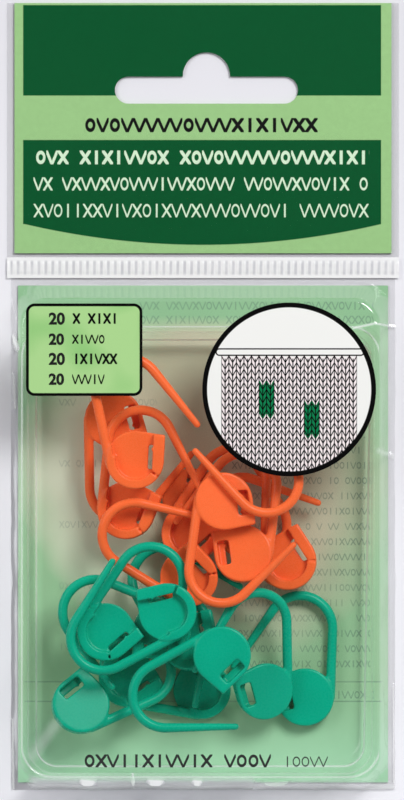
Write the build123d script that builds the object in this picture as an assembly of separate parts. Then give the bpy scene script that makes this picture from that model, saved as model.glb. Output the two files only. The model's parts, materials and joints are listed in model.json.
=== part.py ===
from build123d import *
import math
import os

# A hang pack of twenty lock-ring stitch markers, lying on its back, in millimetres.
# +Y points at the hanging slot, +Z out of the front film, and the origin lies on
# the back film below the middle of the pack.

os.makedirs("parts", exist_ok=True)

# Bag
side_draw_in = 0.7           # the filled pouch is that much narrower on each side
film = 0.12
side_margin = 1.0            # flat film beside the bulge
foot_margin = 0.8            # flat film below the bulge
shoulder = 0.6               # flat film between the seal and the bulge
shoulder_slope = 3.0         # how far the bulge leans back below the seal

# Header card
card_side = 1.3              # bare film beside the card
card_length = 43.4
card_thickness = 0.35
card_play = 0.1

# Hanging slot through card and films
slot_width = 31.75
slot_height = 4.7
slot_drop = 15.1             # from the top edge to the slot's middle line
bump_diameter = 8.2
slot_offset = 0.6            # slot and bump sit a little to the right
bump_rise = 2.45             # from the slot's middle line to the middle of the round bump

# Welded seal below the header
seal_height = 3.6
seal_drop = 0.7              # from the card's lower edge to the seal
rib_pitch = 1.2
rib_width = 0.55
rib_height = 2.1
rib_relief = 0.14

# Printed sheet behind the tray
sheet_thickness = 0.2
sheet_side = 1.2             # bare film beside the sheet
sheet_foot = 1.3             # from the pack's lower edge to the sheet
sheet_head = 1.3             # from the sheet to the seal
sheet_play = 0.1

# Clear tray, open to the front
tray_floor_width = 56.7
tray_floor_length = 73.0
tray_floor_radius = 2.4
tray_wall = 0.35
tray_depth = 15.0            # from the floor's upper face to the top of the lip
tray_draft = 1.75            # how far each wall leans out on its way up
tray_lip = 0.45
tray_offset = -0.5           # the tray sits a little to the left
tray_side = 1.4              # from the lip to the bulge's base, on average
tray_foot = 2.3              # from the pack's lower edge to the lip
tray_head = 7.8              # from the lip to the bulge's upper end
bulge_play = 0.1             # between lip and film, across the pack

# Labels on the front film
label_thickness = 0.08
count_label_width = 20.1
count_label_height = 15.96
count_label_radius = 1.5
count_label_side = 0.85      # from the tray's lip to the label
count_label_head = 0.9       # from the crown's upper end to the label
picture_diameter = 30.0
picture_side = 0.53
picture_head = 0.74

# Stitch marker: a flat hooked head, a straight leg, a bend and a free leg
disc_radius = 5.0
head_thickness = 2.2
face_plate = 0.8
rim_width = 1.6
corner_forward = 3.1         # the catch's corner, toward the bend
corner_out = 6.0             # the catch's corner, toward the free leg
bar_width = 2.0
bar_lip = 0.6                # thickness of the catch's lip over the window
window_length = 4.2
window_width = 2.0
window_out = 3.24            # window's middle, square to the catch bar
window_along = 0.6           # window's middle, along the catch bar
rim_break = 0.35             # slit between the rim's end and the catch bar
rim_break_turn = 137         # degrees round the disc
rim_opening = 1.4            # the rim is open from here toward the bend
edge_round = 0.3
wire = 1.7
leg_stand_out = 0.2
leg_length = 11.9
bend_radius = 5.65
free_leg_length = 12.6
tip_diameter = 1.15
flex_turn = 20               # degrees round the bend, where the loop flexes
flex_gap = 0.05
level_gap = 0.12             # clearance between two levels of markers

# Each marker's place: disc's middle in shares of a marker's length, from the middle of
# the tray, the way the bend points in degrees, the face that is up, the level of its
# middle in head thicknesses and gaps, its rise toward the bend and toward the catch
# in degrees, and the opening of its free leg in degrees.
orange_shares = {
    "orange_01": (-0.498, 0.707, 102, "back", 5.2, 2, 2, 27),
    "orange_02": (-0.566, 0.320, 84, "back", 2.75, 2, 9, 33),
    "orange_03": (-0.085, -0.196, 148, "back", 3.35, 4, 6, 19),
    "orange_04": (0.332, -0.015, 83, "front", 3.6, -8, -5, 30),
    "orange_05": (0.673, -0.073, 138, "back", 1.45, -4, 0, 22),
    "orange_06": (0.180, 0.388, 262, "front", 4.7, 6, -5, 37),
    "orange_07": (-0.070, 0.419, 330, "front", 0.05, 0, -1, 28),
    "orange_08": (0.445, 1.076, 283, "back", 4.7, 4, 7, 30),
    "orange_09": (-0.665, 1.021, 271, "front", 1.4, -1, 0, 40),
    "orange_10": (-0.074, 0.139, 57, "back", 2.1, -5, 8, 30),
}
green_shares = {
    "green_01": (-0.724, -0.612, 56, "back", 4.55, 0, 0, 32),
    "green_02": (-0.248, -0.458, 208, "back", 5.45, 0, 0, 30),
    "green_03": (-0.293, -0.605, 158, "front", 3.55, -2, 1, 30),
    "green_04": (-0.917, -1.174, 24, "front", 3.15, -12, -7, 30),
    "green_05": (0.015, -1.065, 170, "back", 0.05, -1, 0, 30),
    "green_06": (0.168, -0.788, 209, "front", 5.4, 0, 0, 28),
    "green_07": (0.492, -1.065, 91, "front", 1.95, 13, 19, 33),
    "green_08": (0.807, -1.118, 88, "front", 0.1, 0, 0, 33),
    "green_09": (-0.083, -0.688, 118, "back", 2.55, -13, 2, 30),
    "green_10": (-0.558, -0.973, 50, "back", 0.95, -2, 3, 28),
}

# Sizes that follow
overrun = 1.0                # how far a cut runs past what it cuts
lip_width = tray_floor_width + 2 * (tray_draft + tray_wall + tray_lip)
lip_length = tray_floor_length + 2 * (tray_draft + tray_wall + tray_lip)
pack_width = lip_width + 2 * (tray_side + side_margin + side_draw_in)
pack_length = tray_foot + lip_length + tray_head + shoulder + seal_height + seal_drop + card_length
half_length = pack_length / 2
card_width = pack_width - 2 * card_side
card_bottom = film
card_middle = half_length - card_length / 2
seal_top = half_length - card_length - seal_drop
seal_bottom = seal_top - seal_height
slot_line = half_length - slot_drop
upper_film_bottom = film + card_thickness
upper_film_top = upper_film_bottom + film
sheet_width = pack_width - 2 * (side_draw_in + sheet_side)
sheet_length = seal_bottom + half_length - sheet_foot - sheet_head
sheet_middle = sheet_foot - half_length + sheet_length / 2
tray_bottom = film + sheet_thickness
tray_floor = tray_bottom + tray_wall
lip_top = tray_floor + tray_depth
tray_middle = (tray_offset, tray_foot - half_length + lip_length / 2)
film_top = lip_top + film
base_top = seal_bottom - shoulder
crown_top = base_top - shoulder_slope
count_label_place = (tray_offset - lip_width / 2 + count_label_side + count_label_width / 2,
                     crown_top - count_label_head - count_label_height / 2)
picture_place = (tray_offset + lip_width / 2 - picture_side - picture_diameter / 2,
                 crown_top - picture_head - picture_diameter / 2)

corner_distance = math.hypot(corner_forward, corner_out)
corner_turn = math.degrees(math.atan2(corner_out, corner_forward))
tangent_turn = math.degrees(math.acos(disc_radius / corner_distance))
bar_turn = corner_turn + tangent_turn          # square to the catch bar
side_turn = corner_turn - tangent_turn         # square to the head's side toward the bend
leg_out = disc_radius - wire / 2 + leg_stand_out
bend_out = bend_radius - leg_out
level_step = head_thickness + level_gap
marker_length = disc_radius + leg_length + bend_radius


def box(width, length, height, x=0, y=0, z=0):
    """A box centred on x and y that stands on z."""
    return Pos(x, y, z) * Box(width, length, height, align=(Align.CENTER, Align.CENTER, Align.MIN))


def around(radius, turn, middle=(0, 0)):
    """The point at a turn in degrees on a circle."""
    angle = math.radians(turn)
    return (middle[0] + radius * math.cos(angle), middle[1] + radius * math.sin(angle))


flex_point = around(bend_radius, flex_turn, (leg_length, bend_out))


# Bag, header and printed sheet

def hanging_slot():
    """The slot's cutter: a long slot with a round bump above its middle."""
    slot = SlotOverall(slot_width, slot_height) + Pos(0, bump_rise) * Circle(bump_diameter / 2)
    slot += Rectangle(bump_diameter, bump_rise, align=(Align.CENTER, Align.MIN))
    return Pos(slot_offset, slot_line, -overrun) * extrude(slot, upper_film_top + 2 * overrun)


def back_film():
    lower = pack_length - (half_length - seal_bottom)
    sheet = box(pack_width, half_length - seal_bottom, film, y=(half_length + seal_bottom) / 2)
    sheet += box(pack_width - 2 * side_draw_in, lower, film, y=lower / 2 - half_length)
    return sheet - hanging_slot()


def header_card():
    return box(card_width, card_length, card_thickness, y=card_middle, z=card_bottom) - hanging_slot()


def header_film():
    """The upper pocket's front film, folded down round the card at the sides and the top."""
    length = half_length - seal_top
    cover = box(pack_width, length, upper_film_top - film, y=half_length - length / 2, z=film)
    pocket = box(card_width + 2 * card_play, card_length + overrun, card_thickness,
                 y=card_middle - overrun / 2, z=film)
    return cover - pocket - hanging_slot()


def crimp_seal():
    """Both films melted into one band, with a row of small upright ribs."""
    band = box(pack_width, seal_height, card_thickness, y=(seal_top + seal_bottom) / 2, z=film)
    count = int((pack_width - rib_width) / rib_pitch)
    for number in range(count):
        x = (number - (count - 1) / 2) * rib_pitch
        band += box(rib_width, rib_height, rib_relief, x=x, y=(seal_top + seal_bottom) / 2,
                    z=film + card_thickness)
    return band


def bulge(inset, top):
    """The pouch's bulge over the tray, drawn in by an inset, up to a height."""
    base_width = pack_width - 2 * (side_draw_in + side_margin + inset)
    base_foot = foot_margin - half_length
    base_length = base_top - base_foot - 2 * inset
    crown_width = lip_width + 2 * (bulge_play + film - inset)
    head = crown_top - inset
    crown_foot = tray_middle[1] - lip_length / 2 - (bulge_play + film - inset)
    radius = tray_floor_radius + tray_draft + tray_lip
    base = Pos(0, (base_top + base_foot) / 2, film) * RectangleRounded(base_width, base_length, radius)
    crown = Pos(tray_middle[0], (head + crown_foot) / 2, top) * RectangleRounded(
        crown_width, head - crown_foot, radius)
    return loft([base, crown])


def pouch_film():
    """The front film of the pouch: flat over the sheet, and drawn tight over the tray."""
    length = half_length + seal_bottom
    skirt = box(pack_width - 2 * side_draw_in, length, sheet_thickness + film,
                y=length / 2 - half_length, z=film)
    pocket = box(sheet_width + 2 * sheet_play, sheet_length + 2 * sheet_play, sheet_thickness,
                 y=sheet_middle, z=film)
    return skirt + bulge(0, film_top) - bulge(film, lip_top) - pocket


def insert_sheet():
    return box(sheet_width, sheet_length, sheet_thickness, y=sheet_middle, z=film)


# Clear tray and labels

def tray_block(grow, bottom, top):
    """The tray's tapered inside, or its outside when grown by the wall."""
    floor = RectangleRounded(tray_floor_width + 2 * grow, tray_floor_length + 2 * grow,
                             tray_floor_radius + grow)
    wide = 2 * (grow + tray_draft)
    mouth = RectangleRounded(tray_floor_width + wide, tray_floor_length + wide,
                             tray_floor_radius + tray_draft + grow)
    return loft([Pos(*tray_middle, bottom) * floor, Pos(*tray_middle, top) * mouth])


def clear_tray():
    lip = RectangleRounded(lip_width, lip_length, tray_floor_radius + tray_draft + tray_wall + tray_lip)
    tray = tray_block(tray_wall, tray_bottom, lip_top)
    tray += Pos(*tray_middle, lip_top - tray_wall) * extrude(lip, tray_wall)
    return tray - tray_block(0, tray_floor, lip_top)


def count_label():
    shape = RectangleRounded(count_label_width, count_label_height, count_label_radius)
    return Pos(*count_label_place, film_top) * extrude(shape, label_thickness)


def picture_label():
    return Pos(*picture_place, film_top) * extrude(Circle(picture_diameter / 2), label_thickness)


# Stitch marker, drawn with its disc's middle at the origin, its bend along +X, its
# catch along +Y and its smooth face along +Z

def marker_head():
    """A disc with a pointed catch: a smooth face plate, and behind it a broken rim."""
    corner = (corner_forward, corner_out)
    outline = Circle(disc_radius) + Polygon(
        (0, 0), around(disc_radius, side_turn), corner, around(disc_radius, bar_turn), align=None)
    blank = extrude(outline, head_thickness)
    blank = fillet(blank.edges().group_by(Axis.Z)[-1] + blank.edges().group_by(Axis.Z)[0], edge_round)
    blank = Pos(0, 0, -head_thickness / 2) * blank

    along_bar = Rot(0, 0, bar_turn - 90)
    inner_radius = disc_radius - rim_width
    reach = corner_distance + overrun
    back = -head_thickness / 2 - overrun
    depth = head_thickness - face_plate + overrun
    hollow = Circle(inner_radius)
    hollow += Pos(rim_opening, wire / 2 - leg_out) * Rectangle(
        reach, leg_out + corner_out, align=(Align.MIN, Align.MIN))
    hollow -= along_bar * Pos(0, disc_radius - bar_width) * Rectangle(
        2 * reach, bar_width + reach, align=(Align.CENTER, Align.MIN))
    slit = Rot(0, 0, rim_break_turn) * Pos(inner_radius - rim_width / 2, 0) * Rectangle(
        reach, rim_break, align=(Align.MIN, Align.CENTER))
    window = along_bar * Pos(window_along, window_out) * RectangleRounded(
        window_length, window_width, edge_round)
    head = blank - Pos(0, 0, back) * extrude(hollow, depth)
    head -= Pos(0, 0, back) * extrude(slit, depth)
    return head - Pos(0, 0, bar_lip - head_thickness / 2) * extrude(window, head_thickness)


def marker_bend(start, end):
    """A stretch of the round bend between two turns."""
    section = Plane.XZ * Pos(bend_radius, 0) * Circle(wire / 2)
    return Pos(leg_length, bend_out) * Rot(0, 0, start) * revolve(section, Axis.Z, end - start)


def marker_body():
    """Head, fixed leg and bend, hollowed at its end for the flexing stretch."""
    leg = Pos(0, -leg_out) * Rot(0, 90, 0) * Cylinder(
        wire / 2, leg_length, align=(Align.CENTER, Align.CENTER, Align.MIN))
    root = Pos(0, -leg_out) * Sphere(wire / 2)
    seat = Pos(*flex_point) * Sphere(wire / 2 + flex_gap)
    return marker_head() + root + leg + (marker_bend(-90, flex_turn) - seat)


def marker_arm(opening):
    """The rest of the bend and the tapered free leg, round at the flexing point."""
    end = 90 - opening
    start = around(bend_radius, end, (leg_length, bend_out))
    taper = free_leg_length - tip_diameter / 2
    ball = Pos(*flex_point) * Sphere(wire / 2)
    leg = Pos(*start) * Rot(0, 0, 180 - opening) * Rot(0, 90, 0) * Cone(
        wire / 2, tip_diameter / 2, taper, align=(Align.CENTER, Align.CENTER, Align.MIN))
    tip = Pos(*around(taper, 180 - opening, start)) * Sphere(tip_diameter / 2)
    return ball + marker_bend(flex_turn, end) + leg + tip


def marker_place(x_share, y_share, turn, face, level, rise_forward, rise_out):
    """Where a marker lies in the tray."""
    x = tray_middle[0] + x_share * marker_length
    y = tray_middle[1] + y_share * marker_length
    z = tray_floor + head_thickness / 2 + level_gap / 2 + level * level_step
    place = Pos(x, y, z) * Rot(0, 0, turn) * Rot(0, -rise_forward, 0)
    if face == "back":
        return place * Rot(-rise_out, 0, 0) * Rot(180, 0, 0)
    return place * Rot(rise_out, 0, 0)


def write(name, shape, colour):
    """One named, coloured STEP file."""
    shape.label = name
    shape.color = Color(*colour)
    export_step(shape, os.path.join("parts", name + ".step"))


clear = (0.86, 0.9, 0.9, 0.4)
light_green = (0.62, 0.82, 0.54)
write("back_film", back_film(), clear)
write("header_film", header_film(), clear)
write("pouch_film", pouch_film(), clear)
write("crimp_seal", crimp_seal(), (0.9, 0.9, 0.95))
write("header_card", header_card(), (0.0, 0.39, 0.2))
write("insert_sheet", insert_sheet(), (0.55, 0.75, 0.6))
write("clear_tray", clear_tray(), clear)
write("count_label", count_label(), light_green)
write("picture_label", picture_label(), (0.95, 0.95, 0.95))

body = marker_body()
for colour, places in (((1.0, 0.35, 0.16), orange_shares), ((0.0, 0.67, 0.52), green_shares)):
    for name, (*where, opening) in places.items():
        place = marker_place(*where)
        write(name + "_body", place * body, colour)
        write(name + "_arm", place * marker_arm(opening), colour)
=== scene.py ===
import json
import math

import bpy
from mathutils import Matrix, Vector, noise

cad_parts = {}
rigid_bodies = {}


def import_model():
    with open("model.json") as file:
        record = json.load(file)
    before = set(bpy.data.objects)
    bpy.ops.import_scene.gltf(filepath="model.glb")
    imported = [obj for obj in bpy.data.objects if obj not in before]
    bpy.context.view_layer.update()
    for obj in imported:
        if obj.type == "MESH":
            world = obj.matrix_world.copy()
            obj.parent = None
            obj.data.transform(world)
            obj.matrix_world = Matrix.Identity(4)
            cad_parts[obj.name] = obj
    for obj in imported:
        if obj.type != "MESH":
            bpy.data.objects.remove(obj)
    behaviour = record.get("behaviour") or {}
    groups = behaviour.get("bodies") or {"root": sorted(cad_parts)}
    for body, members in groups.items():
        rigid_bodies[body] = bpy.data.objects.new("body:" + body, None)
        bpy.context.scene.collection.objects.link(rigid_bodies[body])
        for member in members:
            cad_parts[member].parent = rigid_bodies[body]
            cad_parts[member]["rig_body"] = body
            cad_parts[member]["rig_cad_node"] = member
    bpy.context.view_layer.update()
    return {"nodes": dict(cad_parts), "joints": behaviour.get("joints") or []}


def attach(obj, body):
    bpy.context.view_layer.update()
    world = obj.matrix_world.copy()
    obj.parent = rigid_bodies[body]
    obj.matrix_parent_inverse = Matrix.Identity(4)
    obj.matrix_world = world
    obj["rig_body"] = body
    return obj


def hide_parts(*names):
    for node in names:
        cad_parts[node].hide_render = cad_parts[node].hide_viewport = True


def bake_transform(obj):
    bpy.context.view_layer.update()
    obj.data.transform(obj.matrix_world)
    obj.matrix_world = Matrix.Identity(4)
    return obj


# A hang pack of lock-ring stitch markers, lying on its back. Metres, +Y to the hanging slot.

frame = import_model()
nodes = frame["nodes"]
mm = 0.001
noiseLow, noiseHigh = 0.3, 0.7      # nearly all of a noise's values lie between these
inkEdge = 0.05                      # mm, half the width over which a printed edge fades
print("frame loaded")


def toLinear(hexCode):  # sRGB hex to the linear values that shaders take
    parts = [int(hexCode[i:i + 2], 16) / 255 for i in (1, 3, 5)]
    return [p / 12.92 if p <= 0.04045 else ((p + 0.055) / 1.055) ** 2.4 for p in parts] + [1]


def addNode(tree, kind, inputs=None, operation=None, **settings):
    # Gives the new node's first output. A colour is given as its sRGB hex.
    node = tree.nodes.new("ShaderNode" + kind)
    if operation:
        node.operation = operation
    for name, value in settings.items():
        setattr(node, name, value)
    for socket, value in (inputs or {}).items():
        if isinstance(value, bpy.types.NodeSocket):
            tree.links.new(value, node.inputs[socket])
        else:
            node.inputs[socket].default_value = toLinear(value) if isinstance(value, str) else value
    return node.outputs[0] if node.outputs else node


def newMaterial(name):
    material = bpy.data.materials.new(name)
    material.use_nodes = True
    material.node_tree.nodes.clear()
    return material, material.node_tree


def millimetres(tree):  # the object's own X and Y in millimetres
    place = addNode(tree, "TexCoord").node.outputs["Object"]
    scaled = addNode(tree, "VectorMath", {0: place, 1: (1000, 1000, 1000)}, "MULTIPLY")
    split = addNode(tree, "SeparateXYZ", {0: scaled}).node
    return scaled, split.outputs[0], split.outputs[1]


def clamped(value):
    return min(max(value, 0), 1)


def selectOnly(obj):
    bpy.ops.object.select_all(action="DESELECT")
    obj.select_set(True)
    bpy.context.view_layer.objects.active = obj


def applyModifiers(obj):
    selectOnly(obj)
    for modifier in list(obj.modifiers):
        bpy.ops.object.modifier_apply(modifier=modifier.name)


def finishPiece(obj, name, material, slot, body, *replaced):
    obj.name = name
    obj.data.name = name
    obj.data.materials.clear()
    obj.data.materials.append(material)
    if replaced:
        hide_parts(*replaced)
    if body:
        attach(obj, body)


# Materials

plasticLook = {
    "orange": "#fb7038",
    "green": "#00ab88",
    "roughness": (0.23, 0.33),
    "specular": 0.16,
    "grain": 0.35,              # mm, spark-eroded mould skin
    "grainDepth": 0.006,        # mm
    "cloud": 9.0,               # mm, slow shift of tone through the moulding
    "tones": (0.93, 1.05),
    "glow": 0.12,               # share of the light that goes in and comes back out
    "glowDepth": 0.6,           # mm
}


def mouldedPolypropylene(name, colour):
    # Injection-moulded polypropylene: even colour, a waxy gloss, and a faint mould grain
    material, tree = newMaterial(name)
    look = plasticLook
    place = millimetres(tree)[0]
    cloud = addNode(tree, "TexNoise", {"Vector": place, "Scale": 1 / look["cloud"], "Detail": 2.0})
    grain = addNode(tree, "TexNoise", {"Vector": place, "Scale": 1 / look["grain"], "Detail": 3.0})
    dark, bright = look["tones"]
    tone = addNode(tree, "MapRange", {0: cloud, 1: noiseLow, 2: noiseHigh, 3: dark, 4: bright})
    tint = addNode(tree, "HueSaturation", {"Value": tone, "Color": colour})
    smoothest, roughest = look["roughness"]
    rough = addNode(tree, "MapRange", {
        0: grain, 1: noiseLow, 2: noiseHigh, 3: smoothest, 4: roughest})
    bump = addNode(tree, "Bump", {
        "Height": grain, "Strength": 0.35, "Distance": look["grainDepth"] * mm})
    shader = addNode(tree, "BsdfPrincipled", {
        "Base Color": tint, "Roughness": rough, "IOR": 1.49, "Normal": bump,
        "Specular IOR Level": look["specular"], "Subsurface Weight": look["glow"],
        "Subsurface Radius": (1.0, 0.5, 0.3), "Subsurface Scale": look["glowDepth"] * mm})
    addNode(tree, "OutputMaterial", {"Surface": shader})
    return material


clearLooks = {                  # crease: mm between creases; haze: share of light sent back by dust, varied in patches that also paint a faint sheen
    "film": {
        "tint": "#fefefe", "crease": 7.0, "creaseDepth": 0.22, "haze": 0.0012,
        "mirror": 0.05, "edgeMirror": 0.35, "roughness": 0.07},
    "flatFilm": {
        "tint": "#fefefe", "crease": 16.0, "creaseDepth": 0.04, "haze": 0.0006,
        "mirror": 0.03, "edgeMirror": 0.3, "roughness": 0.07},
    "tray": {
        "tint": "#fcfefc", "crease": 20.0, "creaseDepth": 0.05, "haze": 0.001,
        "mirror": 0.04, "edgeMirror": 0.35, "roughness": 0.12},
    "milk": "#fafcfc",          # the haze's own colour, also that of the painted glints on folds and painted highlight lines on the tray
    "scuff": 14.0,              # mm, size of the patches of dust and painted faint sheen
    "ink": "#080808",
}


def clearSheet(name, look, marks=None, inkRows=()):
    # Clear plastic: sight goes through it, and it mirrors more toward its edges. The haze is the
    # light that scuffs and dust on it send back, and its patches also paint a faint broad sheen.
    # Painted white glints on folds and painted highlight lines on the tray's edges are mixed into
    # it.
    material, tree = newMaterial(name)
    place, x, y = millimetres(tree)
    fold = addNode(tree, "TexNoise", {
        "Vector": place, "Scale": 1 / look["crease"], "Detail": 2.5, "Distortion": 0.6})
    height = addNode(tree, "Math", {0: fold, 1: look["creaseDepth"]}, "MULTIPLY")
    scuff = addNode(tree, "TexNoise", {
        "Vector": place, "Scale": 1 / clearLooks["scuff"], "Detail": 4.0})
    dustAndPaintedGlints = addNode(tree, "MapRange", {
        0: scuff, 1: noiseLow, 2: 0.75, 3: 0.6 * look["haze"], 4: 1.5 * look["haze"]})
    # marks give painted white glints or highlight lines, and the real ridges under them
    if marks:
        white, raised = marks(tree, x, y)
        dustAndPaintedGlints = addNode(tree, "Math", {0: dustAndPaintedGlints, 1: white}, "MAXIMUM")
        height = addNode(tree, "Math", {0: height, 1: raised}, "ADD")
    bump = addNode(tree, "Bump", {"Height": height, "Strength": 0.8, "Distance": mm})
    facing = addNode(tree, "LayerWeight", {"Blend": 0.5, "Normal": bump}).node.outputs["Facing"]
    steep = addNode(tree, "Math", {0: facing, 1: 5.0}, "POWER")
    mirrored = addNode(tree, "MapRange", {0: steep, 3: look["mirror"], 4: look["edgeMirror"]})
    through = addNode(tree, "BsdfTransparent", {"Color": look["tint"]})
    milky = addNode(tree, "BsdfPrincipled", {
        "Base Color": clearLooks["milk"], "Roughness": 0.6})
    shine = addNode(tree, "BsdfPrincipled", {
        "Base Color": "#ffffff", "Metallic": 1.0, "Roughness": look["roughness"],
        "Normal": bump})
    body = addNode(tree, "MixShader", {0: dustAndPaintedGlints, 1: through, 2: milky})
    whole = addNode(tree, "MixShader", {0: mirrored, 1: body, 2: shine})
    for row in inkRows:         # black ink printed on the film
        ink = addNode(tree, "BsdfPrincipled", {
            "Base Color": clearLooks["ink"], "Roughness": 0.5})
        whole = addNode(tree, "MixShader", {0: chartMask(tree, x, y, row), 1: whole, 2: ink})
    addNode(tree, "OutputMaterial", {"Surface": whole})
    return material


def stronger(tree, first, second):  # the greater value, where the first may be missing
    if first is None:
        return second
    return addNode(tree, "Math", {0: first, 1: second}, "MAXIMUM")


def apart(tree, value, middle):
    away = addNode(tree, "Math", {0: value, 1: middle}, "SUBTRACT")
    return addNode(tree, "Math", {0: away}, "ABSOLUTE")


def segmentFade(tree, x, y, start, end, width):  # 1 on a straight line, fading out over a width
    alongX, alongY = end[0] - start[0], end[1] - start[1]
    square = alongX ** 2 + alongY ** 2
    fromX = addNode(tree, "Math", {0: x, 1: start[0]}, "SUBTRACT")
    fromY = addNode(tree, "Math", {0: y, 1: start[1]}, "SUBTRACT")
    partX = addNode(tree, "Math", {0: fromX, 1: alongX / square}, "MULTIPLY")
    share = addNode(tree, "Math", {0: fromY, 1: alongY / square, 2: partX}, "MULTIPLY_ADD")
    share = addNode(tree, "Clamp", {0: share})
    offX = addNode(tree, "Math", {0: share, 1: -alongX, 2: fromX}, "MULTIPLY_ADD")
    offY = addNode(tree, "Math", {0: share, 1: -alongY, 2: fromY}, "MULTIPLY_ADD")
    off = addNode(tree, "CombineXYZ", {0: offX, 1: offY})
    away = addNode(tree, "VectorMath", {0: off}, "LENGTH").node.outputs["Value"]
    return addNode(tree, "MapRange", {0: away, 1: 0.0, 2: width, 3: 1.0, 4: 0.0},
                   interpolation_type="SMOOTHSTEP")


filmRows = (                    # low edge, height, left, right, pitch, stroke, seed
    (-64.0, 2.2, -22.6, 11.8, 2.02, 0.5, 203.0),
    (-63.9, 1.75, 13.8, 21.6, 1.55, 0.24, 263.0))
filmFolds = (                   # start, end, width, how white the painted glint, how high the ridge
    ((26.0, 11.8), (29.6, 12.6), 0.35, 0.55, 0.10),
    ((29.6, 12.6), (33.4, 12.1), 0.35, 0.5, 0.10),
    ((-33.0, 10.3), (-32.2, 8.3), 0.75, 0.9, 0.20),
    ((-32.9, 4.0), (-32.6, -2.0), 0.35, 0.45, 0.10),
    ((30.4, -9.4), (33.0, -10.4), 0.9, 0.25, 0.12),
    ((-12.1, -65.2), (-12.0, -67.9), 0.4, 0.55, 0.12),
    ((-20.9, -66.7), (-19.0, -66.9), 1.1, 1.6, 0.15),
    ((-9.4, -66.7), (-7.0, -66.8), 1.0, 1.6, 0.15),
    ((-1.5, -66.7), (-0.5, -66.8), 0.9, 1.6, 0.15),
    ((-29.0, -66.8), (8.0, -67.0), 2.0, 0.75, 0.0),
    ((8.0, -67.2), (33.0, -67.9), 1.4, 0.5, 0.0),
    ((-33.0, -56.0), (-32.9, -68.0), 0.3, 0.5, 0.08),
    ((33.0, -50.0), (33.1, -68.0), 0.22, 0.4, 0.06),
    ((-25.6, -56.8), (-29.4, -62.0), 1.7, 0.16, 0.0),
)


# Painted glints: white where the film's folds would mirror the lamps, over real raised ridges
def foldRidgesAndGlints(tree, x, y):
    white = raised = None
    for start, end, width, glintStrength, rise in filmFolds:
        fade = segmentFade(tree, x, y, start, end, width)
        paintedGlint = addNode(tree, "Math", {0: fade, 1: glintStrength}, "MULTIPLY")
        high = addNode(tree, "Math", {0: fade, 1: rise}, "MULTIPLY")
        white = stronger(tree, white, paintedGlint)
        raised = stronger(tree, raised, high)
    return white, raised


tray = {
    "middle": (-0.5, -26.9),
    "floor": (56.7, 73.0), "floorZ": 0.69,
    "mouth": (60.2, 76.5), "lip": (61.8, 78.1), "topZ": 15.67,
    "topRadius": 2.4, "lowRadius": 3.6,
    "fillet": 1.1, "filletTurn": 86,        # the floor rolls up into the wall by this many degrees
    "lean": 1.2,                # the right wall stands closer to the lip at the head of the tray
    "leanFrom": -62.0, "leanTo": 12.0,      # along Y
    "leanRight": 20.0,          # only what lies right of this leans
    "lines": (                  # centre, size, corner radius, width, how bright the painted highlight, leans with the wall
        ((-0.5, -27.1), (56.8, 73.8), 3.6, 0.26, 0.85, True),
        ((-0.5, -27.0), (59.4, 76.2), 4.6, 0.24, 0.24, False),
        ((-0.35, -26.8), (61.9, 77.8), 5.5, 0.34, 0.4, False)),
}


def paintedTrayHighlights(tree, x, y):
    # Painted highlights: thin white lines where the tray's rolled edges would catch the light, with
    # a slight real bump under them
    lean = addNode(tree, "MapRange", {
        0: y, 1: tray["leanFrom"], 2: tray["leanTo"], 3: 0.0, 4: tray["lean"]})
    right = addNode(tree, "Math", {0: x, 1: tray["leanRight"]}, "GREATER_THAN")
    lean = addNode(tree, "Math", {0: lean, 1: right}, "MULTIPLY")
    leaned = addNode(tree, "Math", {0: x, 1: lean}, "SUBTRACT")
    white = None
    for centre, size, radius, width, glintStrength, leans in tray["lines"]:
        line = roundedDistance(tree, leaned if leans else x, y,
                               {"centre": centre, "size": size, "radius": radius})
        line = addNode(tree, "Math", {0: line}, "ABSOLUTE")
        line = addNode(tree, "MapRange", {0: line, 1: 0.0, 2: width, 3: glintStrength, 4: 0.0},
                       interpolation_type="SMOOTHSTEP")
        white = stronger(tree, white, line)
    return white, addNode(tree, "Math", {0: white, 1: 0.05}, "MULTIPLY")


def blendColour(tree, mask, under, over):
    return addNode(tree, "Mix", {0: mask, 6: under, 7: over}, data_type="RGBA").node.outputs[2]


def boxMask(tree, x, y, left, right, low, high, soft=inkEdge):  # 1 inside the box, soft-edged
    masks = []
    for value, first, last in ((x, left, right), (y, low, high)):
        middle, half = (first + last) / 2, (last - first) / 2
        away = apart(tree, value, middle)
        masks.append(addNode(tree, "MapRange", {
            0: away, 1: half - soft, 2: half + soft, 3: 1.0, 4: 0.0}))
    return addNode(tree, "Math", {0: masks[0], 1: masks[1]}, "MULTIPLY")


chartSigns = {
    "share": 0.84,              # of its pitch that a sign takes
    "knitLean": 0.8,            # thins the steeper arms of the V
    "below": (0.42, 0.6, 0.75, 0.9),        # a draw below each is a V, cross, bar or eyelet
    "rowDraw": 37.0,            # shifts the draw from one row of a block to the next
}


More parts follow.
